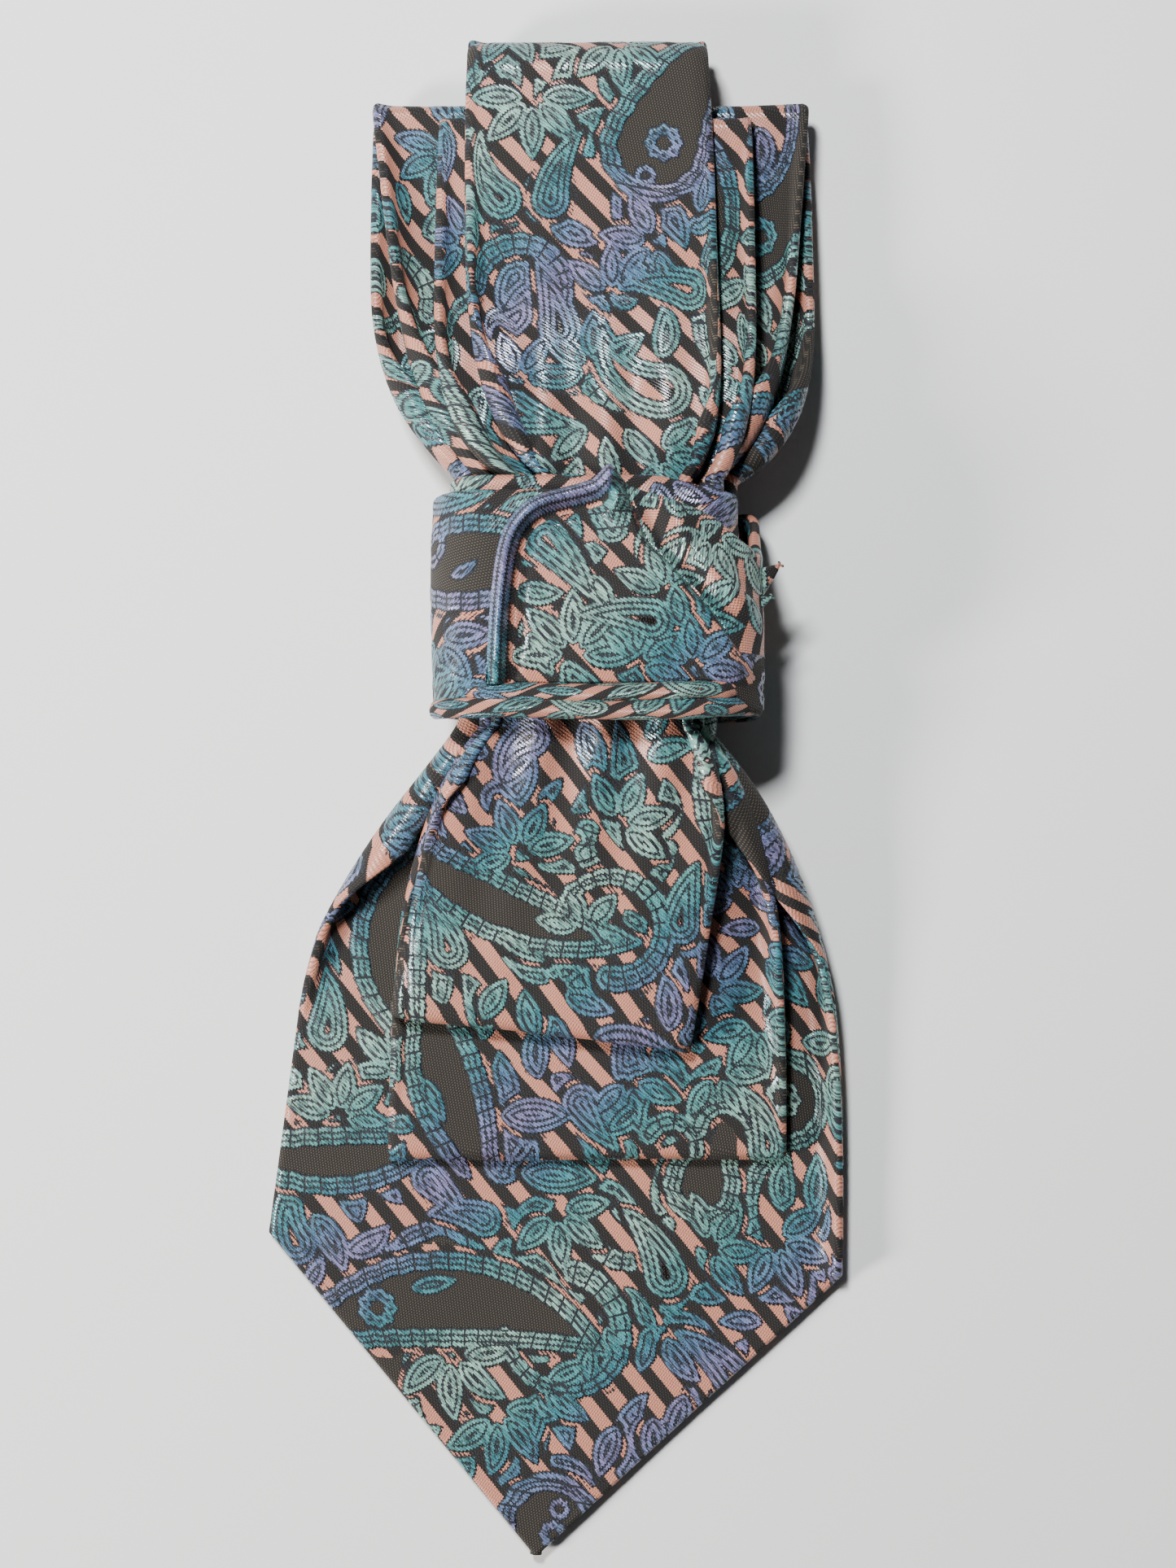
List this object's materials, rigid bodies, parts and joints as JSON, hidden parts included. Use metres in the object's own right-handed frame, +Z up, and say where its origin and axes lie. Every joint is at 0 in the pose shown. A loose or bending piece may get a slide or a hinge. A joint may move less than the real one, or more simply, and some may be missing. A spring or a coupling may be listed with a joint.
{
  "type": "necktie",
  "caption": "Jacquard silk necktie folded to and fro into a flat bundle and tied round the middle with its own tail, lying flat with the pointed blade to the front.",
  "frame": {"origin": "centre of the knot's flat back, on the surface that the folded tie lies on", "axes": "+Y lengthwise, from the pointed blade to the folded loops; +Z up out of the table; +X to the right when the blade points at the viewer"},
  "size_m": [0.0941, 0.2498, 0.0274],
  "materials": {
    "jacquard_silk": "satin jacquard weave",
    "wool": "brushed plain weave",
    "lining": "smooth twill",
    "thread": "twisted silk thread"
  },
  "bodies": {
    "knot": {"gathered_silk": "jacquard_silk", "gathered_interlining": "wool", "gathered_slip_stitch": "thread", "first_wrap_silk": "jacquard_silk", "first_wrap_interlining": "wool", "first_wrap_slip_stitch": "thread", "second_wrap_silk": "jacquard_silk", "second_wrap_interlining": "wool", "second_wrap_slip_stitch": "thread", "front_pass_silk": "jacquard_silk", "front_pass_interlining": "wool", "front_pass_slip_stitch": "thread", "rolled_edge": "jacquard_silk", "tail_tip_silk": "jacquard_silk", "tail_tip_lining": "lining"},
    "blade": {"blade_silk": "jacquard_silk", "blade_interlining": "wool", "blade_slip_stitch": "thread", "blade_tipping": "lining", "blade_bar_tack": "thread"},
    "lower_fold": {"lower_fold_silk": "jacquard_silk", "lower_fold_interlining": "wool", "lower_fold_slip_stitch": "thread"},
    "upper_fold": {"upper_fold_silk": "jacquard_silk", "upper_fold_interlining": "wool", "upper_fold_slip_stitch": "thread"},
    "top_folds": {"rear_loop_silk": "jacquard_silk", "rear_loop_interlining": "wool", "rear_loop_slip_stitch": "thread", "middle_loop_silk": "jacquard_silk", "middle_loop_interlining": "wool", "middle_loop_slip_stitch": "thread", "front_loop_silk": "jacquard_silk", "front_loop_interlining": "wool", "front_loop_slip_stitch": "thread", "keeper_loop": "jacquard_silk", "keeper_stitches": "thread"}
  },
  "joints": [
    {"name": "blade_lift", "type": "hinge", "parent": "knot", "child": "blade", "pos_m": [0, -0.0198, 0.02035], "axis": [-1, 0, 0], "range_deg": [0, 25]},
    {"name": "lower_fold_lift", "type": "hinge", "parent": "blade", "child": "lower_fold", "pos_m": [0, -0.0198, 0.02035], "axis": [-1, 0, 0], "range_deg": [0, 20]},
    {"name": "upper_fold_lift", "type": "hinge", "parent": "lower_fold", "child": "upper_fold", "pos_m": [0, -0.0198, 0.02035], "axis": [-1, 0, 0], "range_deg": [0, 25]},
    {"name": "top_folds_lift", "type": "hinge", "parent": "knot", "child": "top_folds", "pos_m": [0, 0.0198, 0.02035], "axis": [1, 0, 0], "range_deg": [0, 30]}
  ]
}
